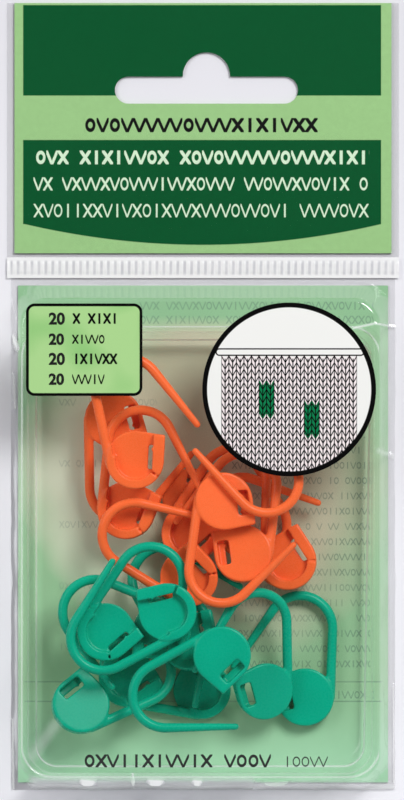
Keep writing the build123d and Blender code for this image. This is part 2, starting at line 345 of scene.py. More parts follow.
def chartMask(tree, x, y, row, lineStep=None, top=0.0):
    # Stitch-chart signs (knit V, cross, bar, eyelet) with gaps between groups, in one row or,
    # with a line step, in a block of rows
    low, height, left, right, pitch, stroke, seed = row
    high = top if lineStep else low + height
    span = boxMask(tree, x, y, left, right, low - 0.02, high + 0.02)
    if lineStep:
        above = addNode(tree, "Math", {0: y, 1: low}, "SUBTRACT")
        line = addNode(tree, "Math", {0: above, 1: lineStep}, "DIVIDE")
        line = addNode(tree, "Math", {0: line}, "FLOOR")
        back = addNode(tree, "Math", {0: line, 1: -lineStep, 2: y}, "MULTIPLY_ADD")
        inRow = addNode(tree, "Math", {0: back, 1: low + height}, "LESS_THAN")
        span = addNode(tree, "Math", {0: span, 1: inRow}, "MULTIPLY")
        y = back
        seed = addNode(tree, "Math", {0: line, 1: chartSigns["rowDraw"], 2: seed}, "MULTIPLY_ADD")
    turns = addNode(tree, "Math", {0: x, 1: left}, "SUBTRACT")
    turns = addNode(tree, "Math", {0: turns, 1: pitch}, "DIVIDE")
    cell = addNode(tree, "Math", {0: turns}, "FLOOR")
    u = addNode(tree, "Math", {0: turns, 1: cell}, "SUBTRACT")
    u = addNode(tree, "Math", {0: u, 1: 0.5}, "SUBTRACT")
    u = addNode(tree, "Math", {0: u, 1: pitch / chartSigns["share"]}, "MULTIPLY")
    v = addNode(tree, "Math", {0: y, 1: low + height / 2}, "SUBTRACT")
    side = addNode(tree, "Math", {0: u}, "ABSOLUTE")
    half = height / 2
    slope = height / pitch
    lean = 1 / math.hypot(1, slope)

    def strokeOf(distance):
        away = addNode(tree, "Math", {0: distance}, "ABSOLUTE")
        return addNode(tree, "MapRange", {
            0: away, 1: stroke / 2 - inkEdge, 2: stroke / 2 + inkEdge, 3: 1.0, 4: 0.0})

    arm = addNode(tree, "Math", {0: side, 1: 2 * slope * chartSigns["share"]}, "MULTIPLY")
    knit = addNode(tree, "Math", {0: v, 1: arm}, "SUBTRACT")
    knit = addNode(tree, "Math", {0: knit, 1: half}, "ADD")
    knit = strokeOf(addNode(tree, "Math", {0: knit, 1: lean * chartSigns["knitLean"]}, "MULTIPLY"))
    up = addNode(tree, "Math", {0: v}, "ABSOLUTE")
    arm = addNode(tree, "Math", {0: side, 1: slope}, "MULTIPLY")
    cross = addNode(tree, "Math", {0: up, 1: arm}, "SUBTRACT")
    cross = strokeOf(addNode(tree, "Math", {0: cross, 1: lean}, "MULTIPLY"))
    wide = addNode(tree, "Math", {0: u, 1: slope}, "MULTIPLY")
    spot = addNode(tree, "CombineXYZ", {0: wide, 1: v})
    out = addNode(tree, "VectorMath", {0: spot}, "LENGTH").node.outputs["Value"]
    eyelet = strokeOf(addNode(tree, "Math", {0: out, 1: half - stroke / 2}, "SUBTRACT"))
    bar = strokeOf(u)

    draw = addNode(tree, "Math", {0: cell, 1: seed}, "ADD")
    draw = addNode(tree, "TexWhiteNoise", {"W": draw}, noise_dimensions="1D")
    signs = knit
    for below, sign in zip(chartSigns["below"], (cross, bar, eyelet)):
        over = addNode(tree, "Math", {0: draw, 1: below}, "GREATER_THAN")
        signs = addNode(tree, "Mix", {0: over, 2: signs, 3: sign}).node.outputs[0]
    inked = addNode(tree, "Math", {0: draw, 1: chartSigns["below"][-1]}, "LESS_THAN")
    signs = addNode(tree, "Math", {0: signs, 1: inked}, "MULTIPLY")
    return addNode(tree, "Math", {0: signs, 1: span}, "MULTIPLY")


cardPrint = {
    "paper": "#a0cc8b",
    "panel": "#00562b",
    "ink": "#101010",
    "white": "#d9f2d3",
    "panelLeft": -31.2, "panelRight": 30.9,
    "topPanel": (52.2, 67.9),
    "lowPanel": (29.9, 44.5),
    "bow": 3.6,                     # how far the low panel's lower edge hangs in its middle
    "rows": (                       # low edge, height, left, right, pitch, stroke, seed
        (40.3, 2.35, -29.1, 28.8, 1.93, 0.62, 3.0),
        (35.75, 2.25, -29.4, 28.8, 1.66, 0.42, 41.0),
        (31.1, 2.3, -29.4, 28.8, 1.71, 0.36, 82.0)),
    "titleRow": (45.85, 2.45, -20.6, 19.9, 2.13, 0.68, 17.0),
    "fibre": 0.8,                   # mm
}


def printedCard():
    # Coated card, offset printed: flat inks, slightly less glossy than the film over it
    material, tree = newMaterial("offset printed coated card")
    place, x, y = millimetres(tree)
    look = cardPrint
    fibre = addNode(tree, "TexNoise", {"Vector": place, "Scale": 1 / look["fibre"], "Detail": 4.0})
    colour = look["paper"]
    top = boxMask(tree, x, y, look["panelLeft"], look["panelRight"], *look["topPanel"])
    colour = blendColour(tree, top, colour, look["panel"])
    share = addNode(tree, "Math", {0: x, 1: look["panelRight"]}, "DIVIDE")
    square = addNode(tree, "Math", {0: share, 1: share}, "MULTIPLY")
    hang = addNode(tree, "MapRange", {0: square, 3: look["bow"], 4: 0.0})
    lifted = addNode(tree, "Math", {0: y, 1: hang}, "ADD")
    bottom, head = look["lowPanel"]
    bowed = addNode(tree, "MapRange", {0: lifted, 1: bottom - inkEdge, 2: bottom + inkEdge})
    low = boxMask(tree, x, y, look["panelLeft"], look["panelRight"], bottom - look["bow"] - 1, head)
    low = addNode(tree, "Math", {0: low, 1: bowed}, "MULTIPLY")
    colour = blendColour(tree, low, colour, look["panel"])
    for rows, ink in ((look["rows"], look["white"]), ((look["titleRow"],), look["ink"])):
        for row in rows:
            colour = blendColour(tree, chartMask(tree, x, y, row), colour, ink)
    tone = addNode(tree, "MapRange", {0: fibre, 1: noiseLow, 2: noiseHigh, 3: 0.97, 4: 1.03})
    colour = addNode(tree, "HueSaturation", {"Value": tone, "Color": colour})
    bump = addNode(tree, "Bump", {"Height": fibre, "Strength": 0.15, "Distance": 0.01 * mm})
    shader = addNode(tree, "BsdfPrincipled", {
        "Base Color": colour, "Roughness": 0.5, "Specular IOR Level": 0.05, "Normal": bump})
    addNode(tree, "OutputMaterial", {"Surface": shader})
    return material


sheetPrint = {
    "edge": "#a2cea2",
    # middle, left and low are painted lighter than the paper, against the shade of the tray, film
    # and markers
    "middle": "#cfcdb2",
    "left": "#eef3de",
    "low": "#aadcb5",
    "top": "#91c294",
    "faint": "#5f7f72",
    "centre": (2.0, -13.0),
    "half": (30.0, 31.0),
    "edgeFade": (1.0, 1.75),
    "leftFade": (-8.0, -24.0),      # along X
    "lowFade": (-50.0, -62.0),      # along Y
    "topFade": (11.0, 14.0),
    "cloud": 22.0,                  # mm, slow shift of the tint
    "rules": (-49.6, -53.0),
    "ruleHalf": 31.0, "ruleWidth": 0.22, "ruleStrength": 0.5,
    "blocks": (                     # row as on the card, line step, top, strength
        ((12.6, 1.4, -11.0, 29.6, 1.15, 0.24, 3.0), 2.45, 17.4, 0.6),
        ((-47.0, 1.2, 5.0, 29.0, 0.98, 0.22, 60.0), 2.65, -7.0, 0.62),
        ((-52.4, 1.3, 22.0, 29.6, 1.05, 0.22, 9.0), None, 0.0, 0.6),
        ((-44.0, 1.2, -25.0, -8.0, 0.98, 0.2, 90.0), 10.6, 2.0, 0.4)),
}


def printedSheet():
    # Thin paper, printed on its far side: greener at its edges, with faint lines showing through.
    # Its middle, left and low tints are painted lighter than the paper, against the shade of the
    # tray, film and markers over it
    material, tree = newMaterial("thin printed paper")
    place, x, y = millimetres(tree)
    look = sheetPrint
    parts = []
    for value, middle, half in zip((x, y), look["centre"], look["half"]):
        off = addNode(tree, "Math", {0: value, 1: middle}, "SUBTRACT")
        off = addNode(tree, "Math", {0: off, 1: half}, "DIVIDE")
        parts.append(addNode(tree, "Math", {0: off, 1: off}, "MULTIPLY"))
    away = addNode(tree, "Math", {0: parts[0], 1: parts[1]}, "ADD")
    cloud = addNode(tree, "TexNoise", {"Vector": place, "Scale": 1 / look["cloud"], "Detail": 2.0})
    away = addNode(tree, "Math", {0: away, 1: cloud}, "ADD")
    greener = addNode(tree, "MapRange", {0: away, 1: look["edgeFade"][0], 2: look["edgeFade"][1]})
    colour = blendColour(tree, greener, look["middle"], look["edge"])
    left = addNode(tree, "MapRange", {0: x, 1: look["leftFade"][0], 2: look["leftFade"][1]})
    inner = addNode(tree, "Math", {0: 1.0, 1: greener}, "SUBTRACT")
    left = addNode(tree, "Math", {0: left, 1: inner}, "MULTIPLY")
    colour = blendColour(tree, left, colour, look["left"])
    for part in ("low", "top"):
        first, full = look[part + "Fade"]
        inPart = addNode(tree, "MapRange", {0: y, 1: first, 2: full})
        colour = blendColour(tree, inPart, colour, look[part])
    faint = None
    for row, lineStep, top, strength in look["blocks"]:
        signs = chartMask(tree, x, y, row, lineStep, top)
        signs = addNode(tree, "Math", {0: signs, 1: strength}, "MULTIPLY")
        faint = stronger(tree, faint, signs)
    for low in look["rules"]:
        high = low + look["ruleWidth"]
        rule = boxMask(tree, x, y, -look["ruleHalf"], look["ruleHalf"], low, high)
        rule = addNode(tree, "Math", {0: rule, 1: look["ruleStrength"]}, "MULTIPLY")
        faint = stronger(tree, faint, rule)
    patchy = addNode(tree, "MapRange", {0: cloud, 1: 0.35, 2: 0.6, 3: 0.6, 4: 1.0})
    faint = addNode(tree, "Math", {0: faint, 1: patchy}, "MULTIPLY")
    colour = blendColour(tree, faint, colour, look["faint"])
    shader = addNode(tree, "BsdfPrincipled", {"Base Color": colour, "Roughness": 0.7})
    addNode(tree, "OutputMaterial", {"Surface": shader})
    return material


labelPrint = {
    "ground": "#a6d08a",
    "shade": "#86bf72",
    "ink": "#020202",
    "centre": (-20.5, 8.07),
    "size": (20.1, 15.96),
    "radius": 1.5,
    "line": 0.5,
    "cloud": 9.0,               # mm, slow shift from the ground to its shade
    "rows": (
        (12.55, 1.8, -22.5, -14.6, 1.32, 0.44, 5.0),
        (9.1, 1.55, -22.6, -16.9, 1.14, 0.34, 9.0),
        (5.6, 1.8, -22.5, -14.8, 1.28, 0.44, 30.0),
        (2.15, 1.65, -22.6, -17.0, 1.12, 0.34, 51.0)),
}


def roundedDistance(tree, x, y, look):  # signed distance to a rounded box, in millimetres
    sides = []
    for value, middle, size in zip((x, y), look["centre"], look["size"]):
        off = apart(tree, value, middle)
        off = addNode(tree, "Math", {0: off, 1: size / 2 - look["radius"]}, "SUBTRACT")
        sides.append(addNode(tree, "Math", {0: off, 1: 0.0}, "MAXIMUM"))
    corner = addNode(tree, "CombineXYZ", {0: sides[0], 1: sides[1]})
    length = addNode(tree, "VectorMath", {0: corner}, "LENGTH").node.outputs["Value"]
    return addNode(tree, "Math", {0: length, 1: look["radius"]}, "SUBTRACT")


def finishVinyl(tree, colour):
    shader = addNode(tree, "BsdfPrincipled", {
        "Base Color": colour, "Roughness": 0.5, "Specular IOR Level": 0.06})
    addNode(tree, "OutputMaterial", {"Surface": shader})


def printedLabel():
    # Vinyl sticker: flat ink, nearly matt under the film, with a thin dark outline
    material, tree = newMaterial("printed vinyl label")
    place, x, y = millimetres(tree)
    look = labelPrint
    cloud = addNode(tree, "TexNoise", {"Vector": place, "Scale": 1 / look["cloud"], "Detail": 1.0})
    shade = addNode(tree, "MapRange", {0: cloud, 1: 0.45, 2: noiseHigh})
    colour = blendColour(tree, shade, look["ground"], look["shade"])
    edge = roundedDistance(tree, x, y, look)
    outline = addNode(tree, "MapRange", {
        0: edge, 1: -look["line"] - inkEdge, 2: -look["line"] + inkEdge})
    colour = blendColour(tree, outline, colour, look["ink"])
    for row in look["rows"]:
        colour = blendColour(tree, chartMask(tree, x, y, row), colour, look["ink"])
    finishVinyl(tree, colour)
    return material


swatchPrint = {
    "white": "#ebebe7",
    "fabric": "#ece2e2",
    "ink": "#020202",
    "accent": "#0b7a4a",
    "centre": (14.87, 1.21),
    "radius": 15.0,
    "ring": 0.85,
    "pitch": 1.3,
    "row": 1.16,
    "slant": 1.15,
    "rowLine": (0.30, 0.37),        # where the lines start and are full, in shares of a stitch
    "seamLine": (0.05, 0.10),
    "sideLine": (0.41, 0.46),
    "top": 5.22,                    # fabric's upper edge above the centre
    "side": 11.7,                   # fabric's half width
    "blocks": ((-3.9, -2.3), (3.9, -5.8)),      # plain blocks of green stitches
    "blockHalf": (1.4, 2.4),
    "needle": (-12.6, 12.9, 5.9, 7.0),          # left, right, low and high
    "needleLine": 0.24,
}


def printedSwatch():
    # Vinyl sticker with a plain knitted swatch in line work, inside a ring
    material, tree = newMaterial("printed vinyl roundel")
    place, x, y = millimetres(tree)
    look = swatchPrint
    x = addNode(tree, "Math", {0: x, 1: look["centre"][0]}, "SUBTRACT")
    y = addNode(tree, "Math", {0: y, 1: look["centre"][1]}, "SUBTRACT")
    spot = addNode(tree, "CombineXYZ", {0: x, 1: y})
    out = addNode(tree, "VectorMath", {0: spot}, "LENGTH").node.outputs["Value"]
    columns = addNode(tree, "Math", {0: x, 1: look["pitch"]}, "DIVIDE")
    across = apart(tree, addNode(tree, "Math", {0: columns}, "FRACT"), 0.5)
    slanted = addNode(tree, "Math", {0: across, 1: 2.0 * look["slant"]}, "MULTIPLY")
    slanted = addNode(tree, "Math", {0: y, 1: slanted}, "SUBTRACT")
    rows = addNode(tree, "Math", {0: slanted, 1: look["row"]}, "DIVIDE")
    row = apart(tree, addNode(tree, "Math", {0: rows}, "FRACT"), 0.5)
    line = addNode(tree, "MapRange", {0: row, 1: look["rowLine"][0], 2: look["rowLine"][1]})
    full, clear = look["seamLine"]
    seam = addNode(tree, "MapRange", {0: across, 1: full, 2: clear, 3: 1.0, 4: 0.0})
    side = addNode(tree, "MapRange", {0: across, 1: look["sideLine"][0], 2: look["sideLine"][1]})
    line = stronger(tree, stronger(tree, line, seam), side)
    stitch = look["fabric"]
    column = addNode(tree, "Math", {0: columns}, "FLOOR")
    column = addNode(tree, "Math", {0: column, 1: look["pitch"], 2: look["pitch"] / 2},
                     "MULTIPLY_ADD")
    course = addNode(tree, "Math", {0: rows}, "ROUND")
    course = addNode(tree, "Math", {0: course, 1: look["row"]}, "MULTIPLY")
    for blockX, blockY in look["blocks"]:
        reach = None
        for value, middle, half in zip((column, course), (blockX, blockY), look["blockHalf"]):
            away = apart(tree, value, middle)
            away = addNode(tree, "Math", {0: away, 1: half}, "DIVIDE")
            reach = stronger(tree, reach, away)
        inside = addNode(tree, "Math", {0: reach, 1: 1.0}, "LESS_THAN")
        stitch = blendColour(tree, inside, stitch, look["accent"])
    cloth = blendColour(tree, line, stitch, look["ink"])
    fabric = boxMask(tree, x, slanted, -look["side"], look["side"], -40.0, look["top"])
    colour = blendColour(tree, fabric, look["white"], cloth)
    left, right, low, high = look["needle"]
    edge = roundedDistance(tree, x, y, {
        "centre": ((left + right) / 2, (low + high) / 2), "size": (right - left, high - low),
        "radius": (high - low) / 2 - 0.01})
    half, soft = look["needleLine"] / 2, 0.04
    for grown, ink in ((half, look["ink"]), (-half, look["white"])):
        covered = addNode(tree, "MapRange", {
            0: edge, 1: grown - soft, 2: grown + soft, 3: 1.0, 4: 0.0})
        colour = blendColour(tree, covered, colour, ink)
    inner = look["radius"] - look["ring"]
    ring = addNode(tree, "MapRange", {0: out, 1: inner - inkEdge, 2: inner + inkEdge})
    colour = blendColour(tree, ring, colour, look["ink"])
    finishVinyl(tree, colour)
    return material


film = clearSheet("clear polypropylene film", clearLooks["film"], foldRidgesAndGlints, filmRows)
flatFilm = clearSheet("clear polypropylene film, flat", clearLooks["flatFilm"])
traySheet = clearSheet("clear thermoformed tray sheet", clearLooks["tray"], paintedTrayHighlights)
plastics = {
    "orange": mouldedPolypropylene("orange moulded polypropylene", plasticLook["orange"]),
    "green": mouldedPolypropylene("green moulded polypropylene", plasticLook["green"]),
}
for node, material in (("header_card", printedCard()), ("insert_sheet", printedSheet()),
                       ("count_label", printedLabel()), ("picture_label", printedSwatch()),
                       ("back_film", flatFilm)):
    nodes[node].data.materials.clear()
    nodes[node].data.materials.append(material)
print("materials made")


# Markers: each one-piece loop is one skin, made from its two CAD parts

marker = {
    "voxel": 0.17,          # mm
    "rounding": 5,          # rounds of smoothing
    "bendMiddle": (11.9, 1.3),
    "bendRadius": 5.65,
    "flexTurn": 20,         # degrees round the bend to the hinge
    "wire": 1.7,
    "headClear": 6.9,       # beyond this the free leg may move
}


def markerSkin(name):
    bpy.ops.object.select_all(action="DESELECT")
    for part in ("_body", "_arm"):
        copy = nodes[name + part].copy()
        copy.data = copy.data.copy()
        copy.parent = None
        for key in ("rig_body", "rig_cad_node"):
            if key in copy:
                del copy[key]
        bpy.context.scene.collection.objects.link(copy)
        copy.select_set(True)
        bpy.context.view_layer.objects.active = copy
    bpy.ops.object.join()
    skin = bpy.context.view_layer.objects.active
    bpy.ops.object.mode_set(mode="EDIT")
    bpy.ops.mesh.select_all(action="SELECT")
    bpy.ops.mesh.remove_doubles(threshold=0.001 * mm)
    bpy.ops.object.mode_set(mode="OBJECT")
    remesh = skin.modifiers.new("oneSkin", "REMESH")
    remesh.mode = "VOXEL"
    remesh.voxel_size = marker["voxel"] * mm
    smooth = skin.modifiers.new("softEdges", "SMOOTH")
    smooth.factor = 0.5
    smooth.iterations = marker["rounding"]
    applyModifiers(skin)
    bpy.ops.object.shade_smooth()
    colour = name.split("_")[0]
    finishPiece(skin, name, plastics[colour], colour + "_plastic", None,
                name + "_body", name + "_arm")
    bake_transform(skin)


for joint in frame["joints"]:
    markerSkin(joint["name"][:-len("_flex")])
print("markers made")


# Clear tray, pouch film, header film and seal

sheetSteps = (140, 100, 140, 200)       # points along the right, top, left and bottom sides
cornerSteps = 12


def ringPoints(width, length, x, y, topRadius, lowRadius):
    # Points round a rounded box, from its lower right corner, the same count for every ring
    corners = []
    for signX, signY, first, radius in ((1, -1, -90, lowRadius), (1, 1, 0, topRadius),
                                        (-1, 1, 90, topRadius), (-1, -1, 180, lowRadius)):
        middleX, middleY = x + signX * (width / 2 - radius), y + signY * (length / 2 - radius)
        turns = [math.radians(first + 90 * step / cornerSteps) for step in range(cornerSteps + 1)]
        corners.append([(middleX + radius * math.cos(a), middleY + radius * math.sin(a))
                        for a in turns])
    points = []
    for corner, following, count in zip(corners, corners[1:] + corners[:1], sheetSteps):
        points += corner
        (startX, startY), (endX, endY) = corner[-1], following[0]
        points += [(startX + (endX - startX) * step / count,
                    startY + (endY - startY) * step / count) for step in range(1, count)]
    return points


def ringShell(rings, shape):
    # A thin form through rounded rings, from the inmost: width, length, x, y, z, two corner
    # radii. A grid is wrapped round them, one row to a ring, then its seam is merged and the
    # inmost ring closed.
    outlines = [ringPoints(*ring[:4], *ring[5:]) for ring in rings]
    around, rows = len(outlines[0]), len(rings) - 1
    bpy.ops.object.select_all(action="DESELECT")
    bpy.ops.mesh.primitive_grid_add(x_subdivisions=around, y_subdivisions=rows, size=1)
    obj = bpy.context.view_layer.objects.active
    inmost = []
    for vertex in obj.data.vertices:
        step, row = round((vertex.co.x + 0.5) * around), round((vertex.co.y + 0.5) * rows)
        x, y = outlines[row][step % around]
        vertex.co = Vector(shape(x, y, rings[row][4])) * mm
        if row == 0:
            inmost.append(vertex.index)
    obj.vertex_groups.new(name="inmost").add(inmost, 1, "REPLACE")
    bpy.ops.object.mode_set(mode="EDIT")
    bpy.ops.mesh.select_all(action="SELECT")
    bpy.ops.mesh.remove_doubles(threshold=0.001 * mm)
    bpy.ops.mesh.select_all(action="DESELECT")
    bpy.ops.object.vertex_group_select()
    bpy.ops.mesh.edge_face_add()
    bpy.ops.mesh.select_all(action="SELECT")
    bpy.ops.mesh.normals_make_consistent(inside=False)
    bpy.ops.object.mode_set(mode="OBJECT")
    obj.vertex_groups.clear()
    bpy.ops.object.shade_smooth_by_angle(angle=math.radians(50))
    return obj


def trayRings():
    x, y = tray["middle"]
    radii = (tray["topRadius"], tray["lowRadius"])
    (floorWidth, floorLength), (mouthWidth, mouthLength) = tray["floor"], tray["mouth"]
    floorZ, topZ, fillet = tray["floorZ"], tray["topZ"], tray["fillet"]
    rings = []
    filletSteps, wallSteps = 8, 6
    for step in range(filletSteps + 1):
        angle = math.radians(tray["filletTurn"] * step / filletSteps)
        out = fillet * (1 - math.sin(angle))
        rings.append((floorWidth - 2 * out, floorLength - 2 * out, x, y,
                      floorZ + fillet * (1 - math.cos(angle)), *radii))
    for step in range(1, wallSteps + 1):            # the wall ends just short of the lip's roll
        share = step / wallSteps
        rings.append((floorWidth + share * (mouthWidth - 0.3 - floorWidth),
                      floorLength + share * (mouthLength - 0.3 - floorLength), x, y,
                      floorZ + fillet + share * (topZ - 0.5 - floorZ - fillet), *radii))
    rings.append((mouthWidth, mouthLength, x, y, topZ - 0.1, *radii))
    rings.append((mouthWidth + 0.6, mouthLength + 0.6, x, y, topZ, *radii))
    rings.append((*tray["lip"], x, y, topZ - 0.02, *radii))
    return rings


def trayPoint(x, y, z):
    along = clamped((y - tray["leanFrom"]) / (tray["leanTo"] - tray["leanFrom"]))
    share = along * (1 - z / tray["topZ"])
    side = clamped((x - tray["leanRight"]) / 7)     # fades in over 7 mm
    return (x + tray["lean"] * share * side, y, z)


finishPiece(ringShell(trayRings(), trayPoint), "clearTray", traySheet,
            "clear_tray", "pack", "clear_tray")

pouch = {
    "crown": (62.24, 83.12), "crownMiddle": (-0.5, -24.61), "crownZ": 15.79,
    "roll": 0.8,
    "base": (64.6, 87.4), "baseMiddle": (0.0, -23.75), "baseZ": 0.62,
    "skirt": (66.6, 88.8), "skirtMiddle": (0.0, -23.85), "skirtZ": 0.46,
    "radius": 4.6, "skirtRadius": 0.6,
    "sag": 0.22,                # how far the film sags between the tray's walls
    "sagHalf": (29.6, 37.7), "sagEdge": 3.0,
    "wave": 0.35,               # how far the wall and edge wander, full at this far below the crown
    "waveDrop": 6.0,
    "waveBeyond": (30.0, -64.0),            # only the side walls and the lower wall wander
    "puckers": (                # place along the lower wall and half width
        (-19.9, 1.5), (-8.2, 1.5), (-1.0, 0.9), (-12.1, 0.35), (12.5, 2.5)),
    "puckerReach": 1.15,
    "puckerFrom": 7.0, "puckerRise": 8.0,   # heights over which they grow
    "puckerTop": 15.75, "puckerFade": 0.4,
}


def pouchRings():
    (x, y), (width, length) = pouch["crownMiddle"], pouch["crown"]
    roll, radius, crownZ = pouch["roll"], pouch["radius"], pouch["crownZ"]
    rings = []
    insets = [30.6 - step for step in range(26)] + [4.6 - 0.5 * step for step in range(8)]
    for inset in insets:                            # rings of the flat crown, finer near its edge
        corner = max(radius - inset, 0.3)
        rings.append((width - 2 * inset, length - 2 * inset, x, y, crownZ, corner, corner))
    rollSteps, wallSteps = 5, 16
    for step in range(1, rollSteps + 1):            # the film turns over the lip
        angle = math.radians(80 * step / rollSteps)
        out = roll * (1 - math.sin(angle))
        rings.append((width - 2 * out, length - 2 * out, x, y,
                      crownZ - roll * (1 - math.cos(angle)), radius, radius))
    top, base = rings[-1], (*pouch["base"], *pouch["baseMiddle"], pouch["baseZ"], radius, radius)
    for step in range(1, wallSteps + 1):
        share = step / wallSteps
        rings.append(tuple(first + share * (last - first) for first, last in zip(top, base)))
    rings.append((*pouch["skirt"], *pouch["skirtMiddle"], pouch["skirtZ"],
                  pouch["skirtRadius"], pouch["skirtRadius"]))
    return rings


def pouchPoint(x, y, z):
    if z > pouch["crownZ"] - 0.01:                  # the crown sags inside the tray's walls
        (middleX, middleY), (halfX, halfY) = tray["middle"], pouch["sagHalf"]
        inside = min(halfX - abs(x - middleX), halfY - abs(y - middleY)) / pouch["sagEdge"]
        wander = 0.5 + 0.5 * noise.noise((x / 14, y / 17, 1.7))     # in waves of 14 and 17 mm
        return x, y, z - pouch["sag"] * wander * clamped(inside)
    loose = pouch["wave"] * clamped((pouch["crownZ"] - z) / pouch["waveDrop"])
    # Slow waves of 7 and 9 mm, and quicker ones of 2.6 and 6 mm at half the strength
    along = noise.noise((0.3, y / 7, z / 9)) + 0.5 * noise.noise((5.3, y / 2.6, z / 6))
    across = noise.noise((x / 7, 3.1, z / 9)) + 0.5 * noise.noise((x / 2.6, 8.1, z / 6))
    right, low = pouch["waveBeyond"]
    if abs(x) > right:
        x += loose * along
    if y < low:
        y += loose * across
        depth = (clamped((z - pouch["puckerFrom"]) / pouch["puckerRise"])
                 * clamped((pouch["puckerTop"] - z) / pouch["puckerFade"]))
        for middle, half in pouch["puckers"]:
            y -= pouch["puckerReach"] * depth * max(1 - ((x - middle) / half) ** 4, 0)
    return x, y, z


finishPiece(ringShell(pouchRings(), pouchPoint), "pouchFilm", film,
            "clear_film", "pack", "pouch_film")

seal = {
    "width": 68.0, "low": 20.55, "high": 24.15, "z": 0.47,
    "steps": (448, 16),
    "pitch": 1.21, "relief": 0.14,
    "ribLow": 21.3, "ribHigh": 23.4, "ribRise": 0.25,
    # painted highlight on the rib tops and painted shade in the gaps between them
    "rib": "#f7f7f7", "gap": "#cbcbd0",
    "gaps": (-33.4, 33.4, 21.15, 23.5),     # left, right, low and high ends of the painted shade between the ribs
    "gapShift": 0.35,           # how far the gaps wander off the ribs over the width
    "wear": 2.3,                # mm, size of the patches where the weld is milkier
    "milk": 0.86,               # share of the weld that is milky
}


def weldedSeal():
    # Film welded between ribbed jaws: milky white, with painted highlight on the rib tops and
    # painted shade in the gaps, so that the ribs stand out
    material, tree = newMaterial("milky welded film")
    place, x, y = millimetres(tree)
    shift = addNode(tree, "MapRange", {
        0: x, 1: -seal["width"] / 2, 2: seal["width"] / 2, 3: 0.0, 4: seal["gapShift"]})
    wear = addNode(tree, "TexNoise", {"Vector": place, "Scale": 1 / seal["wear"], "Detail": 3.0})
    shifted = addNode(tree, "Math", {0: x, 1: shift}, "ADD")
    wave = addNode(tree, "Math", {0: shifted, 1: 2 * math.pi / seal["pitch"]}, "MULTIPLY")
    wave = addNode(tree, "Math", {0: wave}, "COSINE")
    rib = addNode(tree, "MapRange", {0: wave, 1: -0.75, 2: 0.15})
    gap = addNode(tree, "Math", {0: 1.0, 1: rib}, "SUBTRACT")
    ribbed = boxMask(tree, x, y, *seal["gaps"], 0.2)
    gap = addNode(tree, "Math", {0: gap, 1: ribbed}, "MULTIPLY")
    worn = addNode(tree, "MapRange", {0: wear, 1: noiseLow, 2: noiseHigh, 3: 0.6, 4: 1.0})
    gap = addNode(tree, "Math", {0: gap, 1: worn}, "MULTIPLY")
    colour = blendColour(tree, gap, seal["rib"], seal["gap"])
    bump = addNode(tree, "Bump", {"Height": wear, "Strength": 0.3, "Distance": 0.05 * mm})
    shader = addNode(tree, "BsdfPrincipled", {
        "Base Color": colour, "Roughness": 0.35, "Specular IOR Level": 0.4, "Normal": bump})
    clear = addNode(tree, "BsdfTransparent", {"Color": "#f8f8fa"})
    whole = addNode(tree, "MixShader", {0: seal["milk"], 1: clear, 2: shader})
    addNode(tree, "OutputMaterial", {"Surface": whole})
    return material


def crimpedBand():
    bpy.ops.object.select_all(action="DESELECT")
    across, along = seal["steps"]
    bpy.ops.mesh.primitive_grid_add(x_subdivisions=across, y_subdivisions=along, size=1)
    obj = bpy.context.view_layer.objects.active
    middle, high = (seal["low"] + seal["high"]) / 2, seal["high"] - seal["low"]
    for vertex in obj.data.vertices:
        x, y = vertex.co.x * seal["width"], vertex.co.y * high + middle
        inside = (clamped((y - seal["ribLow"]) / seal["ribRise"])
                  * clamped((seal["ribHigh"] - y) / seal["ribRise"]))
        wave = 0.5 + 0.5 * math.cos(2 * math.pi * x / seal["pitch"])
        vertex.co = (x * mm, y * mm, (seal["z"] + seal["relief"] * inside * wave ** 2) * mm)
    bpy.ops.object.shade_smooth()
    return obj


finishPiece(crimpedBand(), "crimpedSeal", weldedSeal(), "white_seal", "pack", "crimp_seal")

slot = {"width": 31.75, "height": 4.7, "x": 0.6, "y": 53.15, "bump": 8.2, "bumpRise": 2.45}
headerSheet = {
    "width": 68.0, "low": 24.15, "high": 68.25, "z": 0.575, "cell": 1.0, "thickness": 0.02}


def slotOutline():  # the slot's outline with its round bump, from its lower left corner
    end, bump = slot["height"] / 2, slot["bump"] / 2
    reach = slot["width"] / 2 - end
    points = []
    for x, y, radius, first, steps in ((reach, 0, end, -90, 12), (0, slot["bumpRise"], bump, 0, 16),
                                       (-reach, 0, end, 90, 12)):
        for step in range(steps + 1):
            angle = math.radians(first + 180 * step / steps)
            points.append((slot["x"] + x + radius * math.cos(angle),
                           slot["y"] + y + radius * math.sin(angle)))
    return points


def slotCutter():
    outline = slotOutline()
    bpy.ops.object.select_all(action="DESELECT")
    bpy.ops.mesh.primitive_circle_add(vertices=len(outline), radius=mm, fill_type="NGON")
    cutter = bpy.context.view_layer.objects.active
    for vertex, (x, y) in zip(cutter.data.vertices, outline):
        vertex.co = (x * mm, y * mm, -mm)
    bpy.ops.object.mode_set(mode="EDIT")
    bpy.ops.mesh.select_all(action="SELECT")
    bpy.ops.mesh.extrude_region_move(TRANSFORM_OT_translate={"value": (0, 0, 3 * mm)})
    bpy.ops.mesh.select_all(action="SELECT")
    bpy.ops.mesh.normals_make_consistent(inside=False)
    bpy.ops.object.mode_set(mode="OBJECT")
    return cutter


